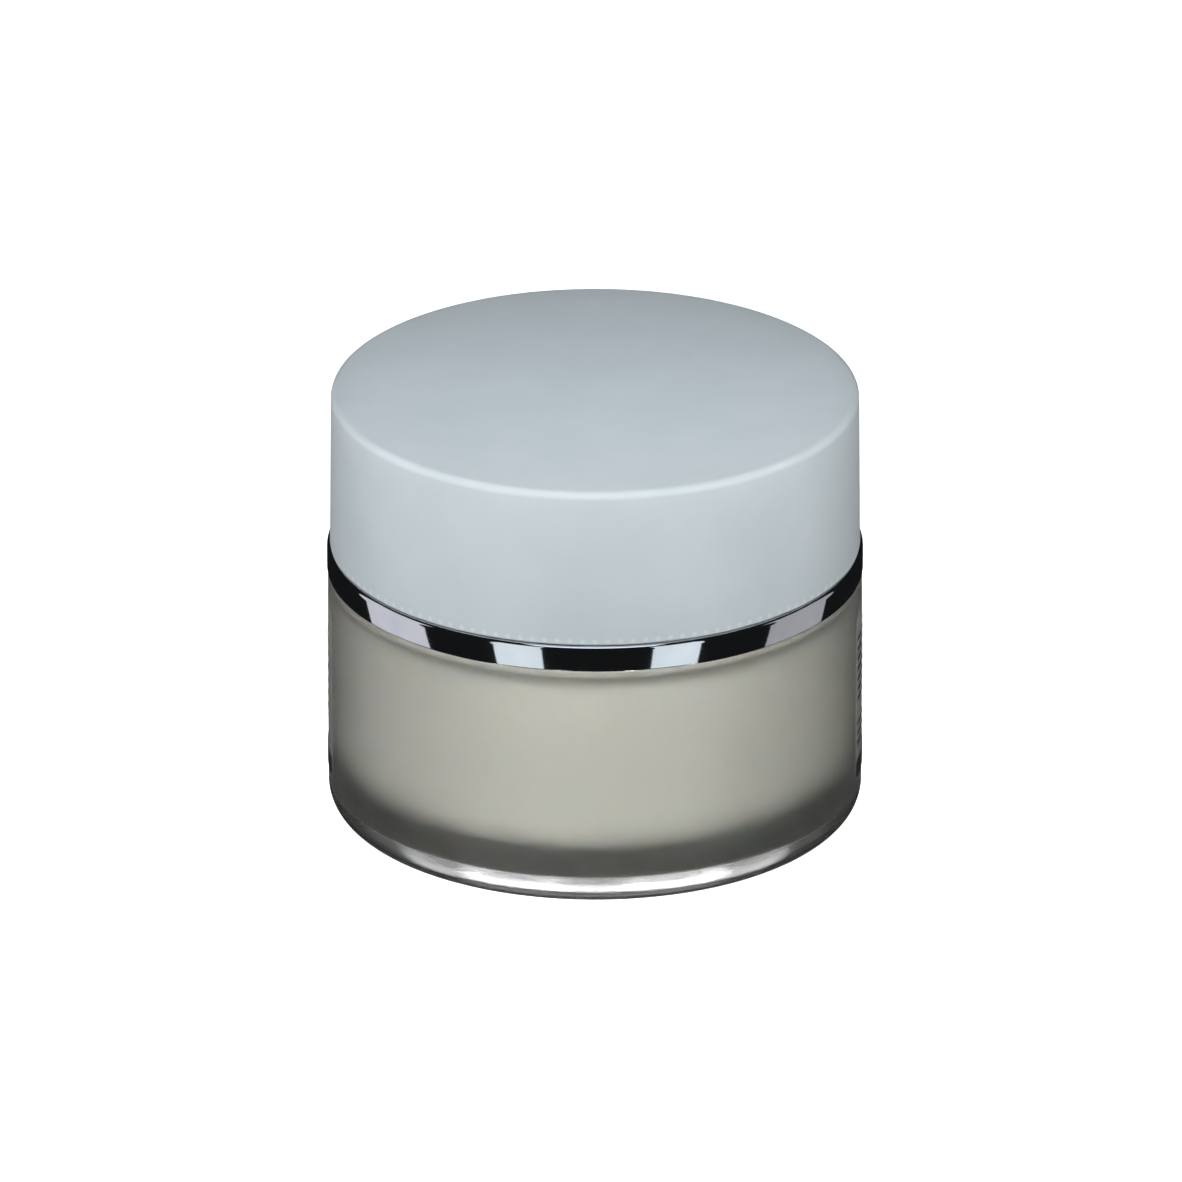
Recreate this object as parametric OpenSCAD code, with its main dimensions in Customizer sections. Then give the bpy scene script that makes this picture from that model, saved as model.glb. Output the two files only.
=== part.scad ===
// Cosmetic cream jar of about 50 ml: a thick-based frosted glass jar with a threaded neck, the cream,
// a sealing disc with a pull tab, and a lid made of an outer shell, a threaded inner cap, a foam liner
// and a bright trim ring. A clear film label wraps round the back.
// Millimetres. The origin is the centre of the base, +Z is up, and the unlabelled front faces -Y.

/* [Glass jar] */
// Outside diameter of the glass
jar_d = 61; // [60.5:0.5:66]
// Height of the shoulder that the lid comes down to
shoulder_z = 29.2; // [28:0.1:34]
// Radius of the rounded heel
heel_r = 3; // [1:0.1:4]
// Radius of the shoulder's outer edge
shoulder_r = 0.7; // [0.3:0.1:1]
// Thickness of the glass under the cream
base_t = 5; // [4:0.5:9]
// Depth of the shallow dome under the base
push_up = 0.8; // [0.3:0.1:1.2]
// Diameter of the dome under the base
push_up_d = 42; // [30:1:48]
// Diameter of the cavity that holds the cream
cavity_d = 51; // [47:0.5:52]
// Radius of the corner at the bottom of the cavity
cavity_r = 5; // [2:0.5:8]

/* [Neck] */
// Diameter of the mouth
mouth_d = 45; // [43:0.5:45]
// Thickness of the neck's wall
neck_t = 2.8; // [2.4:0.1:2.8]
// Height of the neck above the shoulder
neck_h = 11; // [10:0.5:12]
// Rise of the thread in one turn
thread_lead = 6; // [5.6:0.1:6.4]
// Number of thread starts
thread_starts = 2; // [1:1:2]
// Height of the thread's lower end above the shoulder
thread_rise = 2.7; // [2.5:0.1:3]

/* [Cream] */
// Height of the cream's surface above the table
fill_z = 33; // [20:0.5:33]

/* [Sealing disc] */
// Thickness of the disc's flange and floor
disc_t = 0.9; // [0.6:0.1:1]
// Depth of the dish below the rim of the mouth
dish_depth = 2.6; // [2.2:0.1:2.8]
// Width of the pull tab
tab_w = 12; // [10:1:13]
// Length of the pull tab
tab_l = 13; // [13:0.5:15]

/* [Lid] */
// Outside diameter of the lid's shell at its lower edge
lid_d = 60.5; // [60.5:0.1:61]
// Height of the shell above the trim ring
lid_h = 18.6; // [17:0.1:24]
// Thickness of the shell's wall
lid_wall = 1.5; // [1.3:0.1:1.5]
// Thickness of the shell's top
lid_top = 1.8; // [1.2:0.1:2.4]
// Radius of the shell's top edge
lid_edge_r = 0.9; // [0.5:0.1:1.5]
// Draft of the shell's side, as the difference in radius from bottom to top
lid_draft = 0.15; // [0:0.05:0.3]
// Thickness of the foam liner
liner_t = 1.4; // [1:0.1:2]

/* [Trim ring] */
// Outside diameter of the trim ring
ring_d = 61.2; // [61:0.1:61.6]
// Height of the trim ring's bright band
ring_h = 3.1; // [2.5:0.1:3.5]
// Radius of the band's rounded upper edge
ring_edge_r = 0.45; // [0.3:0.05:0.5]
// Gap between the shoulder and the trim ring
ring_gap = 0.2; // [0.1:0.05:0.4]
// Number of grip pips on the sleeve inside the shell
pips = 132; // [60:6:180]

/* [Label] */
// Height of the label's lower edge
label_z = 5.4; // [4:0.1:7]
// Height of the label
label_h = 20.5; // [12:0.5:22]
// Angle that the label wraps round the jar
label_arc = 204; // [60:1:300]
// Thickness of the label's film
label_t = 0.06; // [0.05:0.01:0.08]

/* [Hidden] */
$fn = 128;

fit_gap = 0.05; // between pieces that seat on each other
edge_r = 0.2;   // small moulded edges

// Glass
jar_r = jar_d / 2;
cavity_rad = cavity_d / 2;
mouth_r = mouth_d / 2;
neck_r = mouth_r + neck_t;
rim_z = shoulder_z + neck_h;
rim_r = 0.6;
neck_foot_r = 0.6;
narrow_from_z = shoulder_z - 3.6;  // where the cavity starts to narrow to the mouth
narrow_to_z = shoulder_z - 1.2;
cream_film = 0.02; // the cream stands this far off the glass

// Thread
thread_depth = 1;
thread_root_w = 1.6;
thread_crest_w = 0.7;
thread_sweep = 306;
thread_sink = 0.3;
thread_ramp = 3;   // steps over which a ridge fades in and out
thread_step = 9;   // degrees between a ridge's sections
cap_thread_depth = 0.9;
cap_thread_root_w = 1.4;
cap_thread_crest_w = 0.6;
cap_thread_from = 30;
cap_thread_sweep = 270;
cap_thread_drop = 1; // the lid's ridge runs this far below the neck's

// Lid, from the neck outwards and from the shoulder up
cap_bore_r = neck_r + thread_depth + 0.4;
cap_wall = 1.2;
cap_r = cap_bore_r + cap_wall;
cap_foot_z = shoulder_z + 0.4;
cap_foot_w = 1;
cap_foot_h = 1;
disc_z = rim_z + 0.03;
disc_top_z = disc_z + disc_t;
liner_z = disc_top_z + 0.1;
liner_r = cap_bore_r - 0.3;
cap_roof_z = liner_z + liner_t + fit_gap;
cap_roof_t = 1.2;
bead_r = 0.4;      // bead that keeps the liner in the cap
bead_reach = 0.5;
bead_z = liner_z - 0.45;

ring_z = shoulder_z + ring_gap;
ring_r = ring_d / 2;
ring_top_z = ring_z + ring_h;
shell_z = ring_top_z + fit_gap;
shell_r = lid_d / 2;
shell_bore_r = shell_r - lid_wall;
shell_top_z = shell_z + lid_h;
sleeve_t = 0.5;
sleeve_h = 2.3;
pip_h = 0.5;
pip_z = ring_top_z + fit_gap;
pip_reach = 0.22;

// Disc and tab
plug_r = mouth_r - 0.15;
plug_wall = 0.9;
dish_floor_z = rim_z - dish_depth;
flange_r = neck_r - 0.1;
tab_hinge_y = 5;
tab_t = 0.9;
tab_lift = 0.25;  // the tab lies this far above the dish's floor
tab_hinge_z = dish_floor_z + disc_t + tab_lift + tab_t / 2;
tab_root_gap = 0.5;
tab_root_d = 1.4;

// Label
label_gap = 0.02;
label_turn = -13; // the label's right-hand edge, counted from +X

function arc(centre, r, from, to, n = 10) =
  [for (i = [0 : n]) let (a = from + (to - from) * i / n) centre + r * [cos(a), sin(a)]];

function ease(t) = t * t * (3 - 2 * t);

// The jar's inner wall from the mouth's inner edge down to the middle of its floor, grown inwards by gap.
function inner_wall(top_z, gap) = concat(
  [[mouth_r - gap, top_z]],
  [for (i = [0 : 8])
    let (t = i / 8)
    [mouth_r - gap + (cavity_rad - mouth_r) * ease(t), narrow_to_z + (narrow_from_z - narrow_to_z) * t]],
  arc([cavity_rad - cavity_r, base_t + cavity_r], cavity_r - gap, 0, -90),
  [[0, base_t + gap]]
);

// A shallow dome under the base, from its middle out to the ring that the jar stands on.
function dome() =
  let (half = push_up_d / 2, r = (half * half + push_up * push_up) / (2 * push_up), reach = asin(half / r))
  [for (i = [0 : 8]) [r * sin(reach * i / 8), push_up - r + r * cos(reach * i / 8)]];

// One helical ridge on a round wall. A positive depth stands out of the wall, a negative one into its bore.
module thread_ridge(wall_r, depth, root_w, crest_w, z, from, sweep) {
  steps = ceil(sweep / thread_step);
  side = sign(depth);
  last = 4 * steps;
  function fade(i) = min(1, i / thread_ramp, (steps - i) / thread_ramp);
  function crest_r(i) = wall_r + (fade(i) > 0 ? depth * fade(i) : -side * thread_sink / 3);
  function section(i) = [
    [wall_r - side * thread_sink, -root_w / 2],
    [crest_r(i), -crest_w / 2],
    [crest_r(i), crest_w / 2],
    [wall_r - side * thread_sink, root_w / 2]
  ];
  points = [
    for (i = [0 : steps])
      let (a = from + sweep * i / steps)
      for (p = section(i)) [p[0] * cos(a), p[0] * sin(a), z + thread_lead * a / 360 + p[1]]
  ];
  walls = [
    for (i = [0 : steps - 1], j = [0 : 3])
      let (a = 4 * i + j, b = 4 * i + (j + 1) % 4)
      for (face = [[a, b, a + 4], [b, b + 4, a + 4]]) face
  ];
  ends = [[3, 2, 1], [3, 1, 0], [last, last + 1, last + 2], [last, last + 2, last + 3]];
  faces = concat(walls, ends);
  polyhedron(points, side > 0 ? faces : [for (f = faces) [f[2], f[1], f[0]]]);
}

module thread_ridges(wall_r, depth, root_w, crest_w, z, from, sweep)
  for (start = [0 : thread_starts - 1])
    rotate([0, 0, start * 360 / thread_starts])
      thread_ridge(wall_r, depth, root_w, crest_w, z, from, sweep);

module glass_jar() color([0.80, 0.84, 0.82, 0.6]) {
  rotate_extrude()
    polygon(concat(
      dome(),
      arc([jar_r - heel_r, heel_r], heel_r, -90, 0),
      arc([jar_r - shoulder_r, shoulder_z - shoulder_r], shoulder_r, 0, 90, 6),
      arc([neck_r + neck_foot_r, shoulder_z + neck_foot_r], neck_foot_r, 270, 180, 5),
      arc([neck_r - rim_r, rim_z - rim_r], rim_r, 0, 90, 5),
      arc([mouth_r + rim_r, rim_z - rim_r], rim_r, 90, 180, 5),
      inner_wall(rim_z - rim_r - 0.5, 0)
    ));
  thread_ridges(neck_r, thread_depth, thread_root_w, thread_crest_w,
    shoulder_z + thread_rise, 0, thread_sweep);
}

module cream() color([0.95, 0.93, 0.88])
  rotate_extrude()
    polygon(concat([[0, fill_z]], inner_wall(fill_z, cream_film)));

module back_label() color([0.88, 0.88, 0.86])
  rotate([0, 0, label_turn])
    rotate_extrude(angle = label_arc)
      translate([jar_r + label_gap, label_z])
        square([label_t, label_h]);

// A dished polypropylene disc: its flange lies on the rim and its plug fits the mouth.
module sealing_disc() color([0.96, 0.96, 0.95]) {
  rotate_extrude()
    polygon(concat(
      [[0, dish_floor_z], [plug_r - edge_r, dish_floor_z]],
      arc([plug_r - edge_r, dish_floor_z + edge_r], edge_r, -90, 0, 4),
      [[plug_r, disc_z]],
      arc([flange_r - edge_r, disc_z + edge_r], edge_r, -90, 0, 4),
      arc([flange_r - edge_r, disc_top_z - edge_r], edge_r, 0, 90, 4),
      [
        [plug_r - plug_wall, disc_top_z],
        [plug_r - plug_wall, dish_floor_z + disc_t],
        [0, dish_floor_z + disc_t]
      ]
    ));
  // Raised root of the tab's living hinge
  translate([-tab_w / 2, tab_hinge_y + tab_root_gap, dish_floor_z + disc_t / 2])
    cube([tab_w, tab_root_d, disc_t / 2 + tab_lift + tab_t]);
}

// A round-ended tab with three grip bars, lying in the dish. It turns up about the end at tab_hinge_y.
module pull_tab() color([0.96, 0.96, 0.95]) {
  bars = 3;
  bar_step = 2;
  round_r = tab_w / 2;
  translate([0, tab_hinge_y, tab_hinge_z - tab_t / 2]) {
    linear_extrude(tab_t) {
      translate([-round_r, round_r - tab_l]) square([tab_w, tab_l - round_r]);
      translate([0, round_r - tab_l]) circle(r = round_r);
    }
    for (i = [0 : bars - 1])
      translate([-tab_w / 4, 2 - tab_l + i * bar_step, tab_t - 0.1])
        cube([tab_w / 2, 0.8, 0.35]);
  }
}

module cap_liner() color([0.97, 0.97, 0.95])
  translate([0, 0, liner_z])
    cylinder(h = liner_t, r = liner_r);

// Threaded insert. Its foot carries the trim ring, and its roof presses the liner on the disc.
module inner_cap() color([0.93, 0.94, 0.94]) {
  rotate_extrude()
    polygon(concat(
      [[cap_bore_r, cap_foot_z], [cap_r + cap_foot_w, cap_foot_z]],
      [[cap_r + cap_foot_w, cap_foot_z + cap_foot_h], [cap_r, cap_foot_z + cap_foot_h]],
      arc([cap_r - edge_r, cap_roof_z + cap_roof_t - edge_r], edge_r, 0, 90, 4),
      [[0, cap_roof_z + cap_roof_t], [0, cap_roof_z], [cap_bore_r, cap_roof_z]],
      [[cap_bore_r, bead_z + bead_r], [cap_bore_r - bead_reach, bead_z], [cap_bore_r, bead_z - bead_r]]
    ));
  thread_ridges(cap_bore_r, -cap_thread_depth, cap_thread_root_w, cap_thread_crest_w,
    shoulder_z + thread_rise - cap_thread_drop, cap_thread_from, cap_thread_sweep);
}

// Bright band with a thin sleeve that rises inside the shell, where its pips grip.
module trim_ring() color([0.85, 0.86, 0.88]) {
  seat_z = cap_foot_z + cap_foot_h + fit_gap;
  sleeve_r = cap_r + fit_gap + sleeve_t;
  rotate_extrude()
    polygon(concat(
      [[cap_r + cap_foot_w + fit_gap, ring_z]],
      arc([ring_r - edge_r, ring_z + edge_r], edge_r, -90, 0, 5),
      arc([ring_r - ring_edge_r, ring_top_z - ring_edge_r], ring_edge_r, 0, 90, 8),
      [[sleeve_r, ring_top_z], [sleeve_r, ring_top_z + sleeve_h]],
      [[cap_r + fit_gap, ring_top_z + sleeve_h], [cap_r + fit_gap, seat_z]],
      [[cap_r + cap_foot_w + fit_gap, seat_z]]
    ));
  difference() {
    translate([0, 0, pip_z])
      linear_extrude(pip_h)
        polygon([
          for (i = [0 : pips - 1], side = [-1, 1], tip = side < 0 ? [0, 1] : [1, 0])
            let (a = (i + side * (tip == 1 ? 0.18 : 0.3)) * 360 / pips, r = sleeve_r - 0.02 + tip * pip_reach)
            r * [cos(a), sin(a)]
        ]);
    translate([0, 0, ring_z]) cylinder(h = ring_h + sleeve_h, r = sleeve_r - sleeve_t / 2);
  }
}

// Frosted shell with a flat top.
module outer_cap() color([0.76, 0.81, 0.84]) {
  top_r = shell_r - lid_draft;
  roof_z = shell_top_z - lid_top;
  rotate_extrude()
    polygon(concat(
      [[shell_bore_r, shell_z]],
      arc([shell_r - edge_r, shell_z + edge_r], edge_r, -90, 0, 4),
      arc([top_r - lid_edge_r, shell_top_z - lid_edge_r], lid_edge_r, 0, 90),
      [[0, shell_top_z], [0, roof_z]],
      arc([shell_bore_r - lid_draft - lid_edge_r, roof_z - lid_edge_r], lid_edge_r, 90, 0, 5)
    ));
}

glass_jar();
cream();
back_label();
sealing_disc();
pull_tab();
cap_liner();
inner_cap();
trim_ring();
outer_cap();
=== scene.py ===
import math

import bmesh
import bpy
from mathutils import Matrix, Vector, noise


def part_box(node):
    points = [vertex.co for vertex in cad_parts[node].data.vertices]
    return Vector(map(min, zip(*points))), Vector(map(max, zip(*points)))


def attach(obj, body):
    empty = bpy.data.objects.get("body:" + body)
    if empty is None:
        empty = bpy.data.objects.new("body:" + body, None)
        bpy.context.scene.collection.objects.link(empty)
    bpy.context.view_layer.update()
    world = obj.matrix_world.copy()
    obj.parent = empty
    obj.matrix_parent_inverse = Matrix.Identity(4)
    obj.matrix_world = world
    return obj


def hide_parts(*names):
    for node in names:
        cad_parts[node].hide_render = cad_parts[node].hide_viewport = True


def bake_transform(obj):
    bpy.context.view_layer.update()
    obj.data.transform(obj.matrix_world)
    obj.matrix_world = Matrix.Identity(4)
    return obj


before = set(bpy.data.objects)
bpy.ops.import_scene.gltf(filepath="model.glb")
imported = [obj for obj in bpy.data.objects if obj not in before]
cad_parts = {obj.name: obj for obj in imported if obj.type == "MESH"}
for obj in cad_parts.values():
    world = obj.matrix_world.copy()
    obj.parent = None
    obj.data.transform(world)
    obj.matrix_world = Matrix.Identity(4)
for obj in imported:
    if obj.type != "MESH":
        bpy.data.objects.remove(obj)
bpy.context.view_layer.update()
mm = 0.001


def boxMm(node):
    low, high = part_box(node)
    return low / mm, high / mm


def arc(centreR, centreZ, radius, fromDeg, toDeg, steps=10):
    # a round corner of an outline, as (radius, height) points
    angles = [math.radians(fromDeg + (toDeg - fromDeg) * i / steps) for i in range(steps + 1)]
    return [(centreR + radius * math.cos(a), centreZ + radius * math.sin(a)) for a in angles]


def stretch(start, end, step):
    # points along a straight part of an outline, without its two ends
    count = max(1, round(math.dist(start, end) / step))
    return [tuple(a + (b - a) * i / count for a, b in zip(start, end)) for i in range(1, count)]


def ease(t):
    t = min(1, max(0, t))
    return t * t * (3 - 2 * t)


def newPiece(name, bm, sharpDeg=38):
    # turns a bmesh into a smooth-shaded object whose faces point outwards
    bmesh.ops.recalc_face_normals(bm, faces=bm.faces)
    mesh = bpy.data.meshes.new(name)
    bm.to_mesh(mesh)
    bm.free()
    mesh.shade_smooth()
    mesh.set_sharp_from_angle(angle=math.radians(sharpDeg))
    piece = bpy.data.objects.new(name, mesh)
    bpy.context.scene.collection.objects.link(piece)
    return piece


def lathe(name, outline, segments=192, closed=False, push=None, sharpDeg=38):
    # spins an outline round Z; push(r, z, angle) may move each point of it, as a thread or a swirl does
    bm = bmesh.new()
    rings = []
    for r, z in outline:
        if r < 1e-6:
            rings.append([bm.verts.new((0, 0, z * mm))])
            continue
        ring = []
        for i in range(segments):
            angle = 2 * math.pi * i / segments
            pushedR, pushedZ = push(r, z, angle) if push else (r, z)
            point = Vector((pushedR * math.cos(angle), pushedR * math.sin(angle), pushedZ))
            ring.append(bm.verts.new(point * mm))
        rings.append(ring)
    if closed:
        rings.append(rings[0])
    for low, high in zip(rings, rings[1:]):
        for i in range(segments):
            j = (i + 1) % segments
            corners = [low[i % len(low)], low[j % len(low)], high[j % len(high)], high[i % len(high)]]
            corners = list(dict.fromkeys(corners))  # a ring of one point is met twice
            if len(corners) > 2:
                bm.faces.new(corners)
    return newPiece(name, bm, sharpDeg)


def finishPiece(piece, material, body, slotName, *nodes):
    piece.data.materials.clear()
    piece.data.materials.append(material)
    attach(piece, body)
    if nodes:
        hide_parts(*nodes)


def threadHeight(thread, z, angle):
    # how far the ridge stands out of its wall here, rounded across and faded at both ends
    tallest = 0
    for start in range(thread["starts"]):
        turned = (math.degrees(angle) - start * 360 / thread["starts"]) % 360
        along = turned - thread["from"]
        if not 0 <= along <= thread["sweep"]:
            continue
        off = abs(z - thread["z"] - thread["lead"] * turned / 360)
        across = ease((thread["root"] / 2 - off) / (thread["root"] - thread["crest"]) * 2)
        fade = ease(min(along, thread["sweep"] - along) / thread["ramp"])
        tallest = max(tallest, thread["depth"] * across * fade)
    return tallest


def addNode(tree, kind, settings=None, values=None, links=None):
    # one node with its settings, its fixed inputs and its incoming links
    node = tree.nodes.new(kind)
    for key, value in (settings or {}).items():
        setattr(node, key, value)
    for key, value in (values or {}).items():
        node.inputs[key].default_value = value
    for key, socket in (links or {}).items():
        tree.links.new(socket, node.inputs[key])
    return node


def newGeometryTree(name, inputs):
    tree = bpy.data.node_groups.new(name, "GeometryNodeTree")
    tree.interface.new_socket("Geometry", in_out="OUTPUT", socket_type="NodeSocketGeometry")
    tree.interface.new_socket("Geometry", in_out="INPUT", socket_type="NodeSocketGeometry")
    for label, kind in inputs.items():
        tree.interface.new_socket(label, in_out="INPUT", socket_type="NodeSocket" + kind)
    return tree, addNode(tree, "NodeGroupInput"), addNode(tree, "NodeGroupOutput")


def bakeGeometry(piece, tree, values):
    # runs a tree on a piece and keeps the plain mesh that comes out
    modifier = piece.modifiers.new(tree.name, "NODES")
    modifier.node_group = tree
    for item in tree.interface.items_tree:
        if item.in_out == "INPUT" and item.name in values:
            modifier[item.identifier] = values[item.name]
    bpy.context.view_layer.update()
    graph = bpy.context.evaluated_depsgraph_get()
    mesh = bpy.data.meshes.new_from_object(piece.evaluated_get(graph))
    piece.modifiers.remove(modifier)
    piece.data = mesh


def repeatRoundTree():
    # copies of a small shape stand round Z, each turned with its +X pointing outwards
    tree, given, result = newGeometryTree("repeatRound", {
        "Count": "Int", "Radius": "Float", "Height": "Float", "Material": "Material"})
    circle = addNode(tree, "GeometryNodeMeshCircle", links={
        "Vertices": given.outputs["Count"], "Radius": given.outputs["Radius"]})
    place = addNode(tree, "GeometryNodeInputPosition")
    outward = addNode(tree, "FunctionNodeAlignRotationToVector", {"axis": "X"}, links={
        "Vector": place.outputs["Position"]})
    copies = addNode(tree, "GeometryNodeInstanceOnPoints", links={
        "Points": circle.outputs["Mesh"], "Instance": given.outputs["Geometry"],
        "Rotation": outward.outputs["Rotation"]})
    lift = addNode(tree, "ShaderNodeCombineXYZ", links={"Z": given.outputs["Height"]})
    lifted = addNode(tree, "GeometryNodeTransform", links={
        "Geometry": copies.outputs["Instances"], "Translation": lift.outputs["Vector"]})
    real = addNode(tree, "GeometryNodeRealizeInstances", links={"Geometry": lifted.outputs["Geometry"]})
    painted = addNode(tree, "GeometryNodeSetMaterial", links={
        "Geometry": real.outputs["Geometry"], "Material": given.outputs["Material"]})
    tree.links.new(painted.outputs["Geometry"], result.inputs["Geometry"])
    return tree


def printRowsTree():
    # rows of short bars, of random length, laid flat and then bent round the jar
    tree, given, result = newGeometryTree("printRows", {
        "Rows": "Int", "Columns": "Int", "Row Step": "Float", "Column Step": "Float", "Bar Height": "Float",
        "Longest": "Float", "Shortest": "Float", "Radius": "Float", "Start Angle": "Float",
        "Low Edge": "Float", "Seed": "Int", "Material": "Material"})
    rowOffset = addNode(tree, "ShaderNodeCombineXYZ", links={"Z": given.outputs["Row Step"]})
    rows = addNode(tree, "GeometryNodeMeshLine", {"mode": "OFFSET"}, links={
        "Count": given.outputs["Rows"], "Offset": rowOffset.outputs["Vector"]})
    columnOffset = addNode(tree, "ShaderNodeCombineXYZ", links={"X": given.outputs["Column Step"]})
    columns = addNode(tree, "GeometryNodeMeshLine", {"mode": "OFFSET"}, links={
        "Count": given.outputs["Columns"], "Offset": columnOffset.outputs["Vector"]})
    lines = addNode(tree, "GeometryNodeInstanceOnPoints", links={
        "Points": rows.outputs["Mesh"], "Instance": columns.outputs["Mesh"]})
    points = addNode(tree, "GeometryNodeRealizeInstances", links={"Geometry": lines.outputs["Instances"]})
    length = addNode(tree, "FunctionNodeRandomValue", {"data_type": "FLOAT"}, links={
        "Min": given.outputs["Shortest"], "Max": given.outputs["Longest"], "Seed": given.outputs["Seed"]})
    barSize = addNode(tree, "ShaderNodeCombineXYZ", values={"Y": 1.0}, links={
        "X": length.outputs["Value"], "Z": given.outputs["Bar Height"]})
    bars = addNode(tree, "GeometryNodeInstanceOnPoints", links={
        "Points": points.outputs["Geometry"], "Instance": given.outputs["Geometry"],
        "Scale": barSize.outputs["Vector"]})
    flat = addNode(tree, "GeometryNodeRealizeInstances", links={"Geometry": bars.outputs["Instances"]})
    where = addNode(tree, "ShaderNodeSeparateXYZ", links={
        "Vector": addNode(tree, "GeometryNodeInputPosition").outputs["Position"]})
    turn = addNode(tree, "ShaderNodeMath", {"operation": "DIVIDE"}, links={
        0: where.outputs["X"], 1: given.outputs["Radius"]})
    angle = addNode(tree, "ShaderNodeMath", {"operation": "ADD"}, links={
        0: turn.outputs["Value"], 1: given.outputs["Start Angle"]})
    reach = addNode(tree, "ShaderNodeMath", {"operation": "ADD"}, links={
        0: where.outputs["Y"], 1: given.outputs["Radius"]})
    level = addNode(tree, "ShaderNodeMath", {"operation": "ADD"}, links={
        0: where.outputs["Z"], 1: given.outputs["Low Edge"]})
    bent = {}
    for axis, operation in (("X", "COSINE"), ("Y", "SINE")):
        part = addNode(tree, "ShaderNodeMath", {"operation": operation}, links={0: angle.outputs["Value"]})
        scaled = addNode(tree, "ShaderNodeMath", {"operation": "MULTIPLY"}, links={
            0: part.outputs["Value"], 1: reach.outputs["Value"]})
        bent[axis] = scaled.outputs["Value"]
    bentPlace = addNode(tree, "ShaderNodeCombineXYZ", links={**bent, "Z": level.outputs["Value"]})
    wrapped = addNode(tree, "GeometryNodeSetPosition", links={
        "Geometry": flat.outputs["Geometry"], "Position": bentPlace.outputs["Vector"]})
    painted = addNode(tree, "GeometryNodeSetMaterial", links={
        "Geometry": wrapped.outputs["Geometry"], "Material": given.outputs["Material"]})
    tree.links.new(painted.outputs["Geometry"], result.inputs["Geometry"])
    return tree


def srgb(text):
    # an sRGB hex colour as the linear RGBA that the shaders want
    channels = [int(text[i:i + 2], 16) / 255 for i in (1, 3, 5)]
    return [c / 12.92 if c <= 0.04045 else ((c + 0.055) / 1.055) ** 2.4 for c in channels] + [1.0]


def perMetre(sizeMm):
    # a texture's scale for features of this size
    return 1 / (sizeMm * mm)


def newMaterial(name, shader, cloudSize, light, dark):
    # a Principled material whose colour drifts between two shades in soft clouds
    material = bpy.data.materials.new(name)
    material.use_nodes = True
    tree = material.node_tree
    tree.nodes.clear()
    surface = addNode(tree, "ShaderNodeBsdfPrincipled", values=shader)
    addNode(tree, "ShaderNodeOutputMaterial", links={"Surface": surface.outputs["BSDF"]})
    place = addNode(tree, "ShaderNodeTexCoord").outputs["Object"]
    clouds = addNode(tree, "ShaderNodeTexNoise", values={"Scale": perMetre(cloudSize), "Detail": 3.0},
                     links={"Vector": place})
    cloud = addNode(tree, "ShaderNodeMapRange", values={"From Min": 0.3, "From Max": 0.7},
                    links={"Value": clouds.outputs["Fac"]}).outputs["Result"]
    colour = addNode(tree, "ShaderNodeMix", {"data_type": "RGBA"},
                     {6: srgb(light), 7: srgb(dark)}, {0: cloud})
    tree.links.new(colour.outputs[2], surface.inputs["Base Color"])
    return material, tree, surface, place, cloud


def raiseSurface(tree, surface, height, look):
    bump = addNode(tree, "ShaderNodeBump", values={"Strength": look["bump"], "Distance": look["relief"] * mm},
                   links={"Height": height})
    tree.links.new(bump.outputs["Normal"], surface.inputs["Normal"])


def roughenSurface(tree, surface, height, look):
    # one grain sets both how rough the surface is and how finely it catches the light
    rough = addNode(tree, "ShaderNodeMapRange", values={
        "From Min": 0.3, "From Max": 0.7, "To Min": look["smoothest"], "To Max": look["roughest"]},
        links={"Value": height})
    tree.links.new(rough.outputs["Result"], surface.inputs["Roughness"])
    raiseSurface(tree, surface, height, look)


def tintSurface(tree, surface, share, colour):
    # turns the surface's own colour into another one where the share is 1
    tinted = addNode(tree, "ShaderNodeMix", {"data_type": "RGBA"}, {7: srgb(colour)},
                     {0: share, 6: surface.inputs["Base Color"].links[0].from_socket})
    tree.links.new(tinted.outputs[2], surface.inputs["Base Color"])


def frostMask(tree, place, fromR, fromZ):
    # 1 beyond a radius or above a height, and 0 on what lies inside both, such as a bore
    sideFade, endFade = 0.8, 0.4
    flat = addNode(tree, "ShaderNodeVectorMath", {"operation": "MULTIPLY"}, {1: (1, 1, 0)}, {0: place})
    radius = addNode(tree, "ShaderNodeVectorMath", {"operation": "LENGTH"}, links={0: flat.outputs["Vector"]})
    height = addNode(tree, "ShaderNodeSeparateXYZ", links={"Vector": place})
    side = addNode(tree, "ShaderNodeMapRange", values={
        "From Min": fromR * mm, "From Max": (fromR + sideFade) * mm},
        links={"Value": radius.outputs["Value"]})
    end = addNode(tree, "ShaderNodeMapRange", values={
        "From Min": fromZ * mm, "From Max": (fromZ + endFade) * mm}, links={"Value": height.outputs["Z"]})
    mask = addNode(tree, "ShaderNodeMath", {"operation": "MAXIMUM"},
                   links={0: side.outputs["Result"], 1: end.outputs["Result"]})
    return mask.outputs["Value"], height.outputs["Z"]


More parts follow.
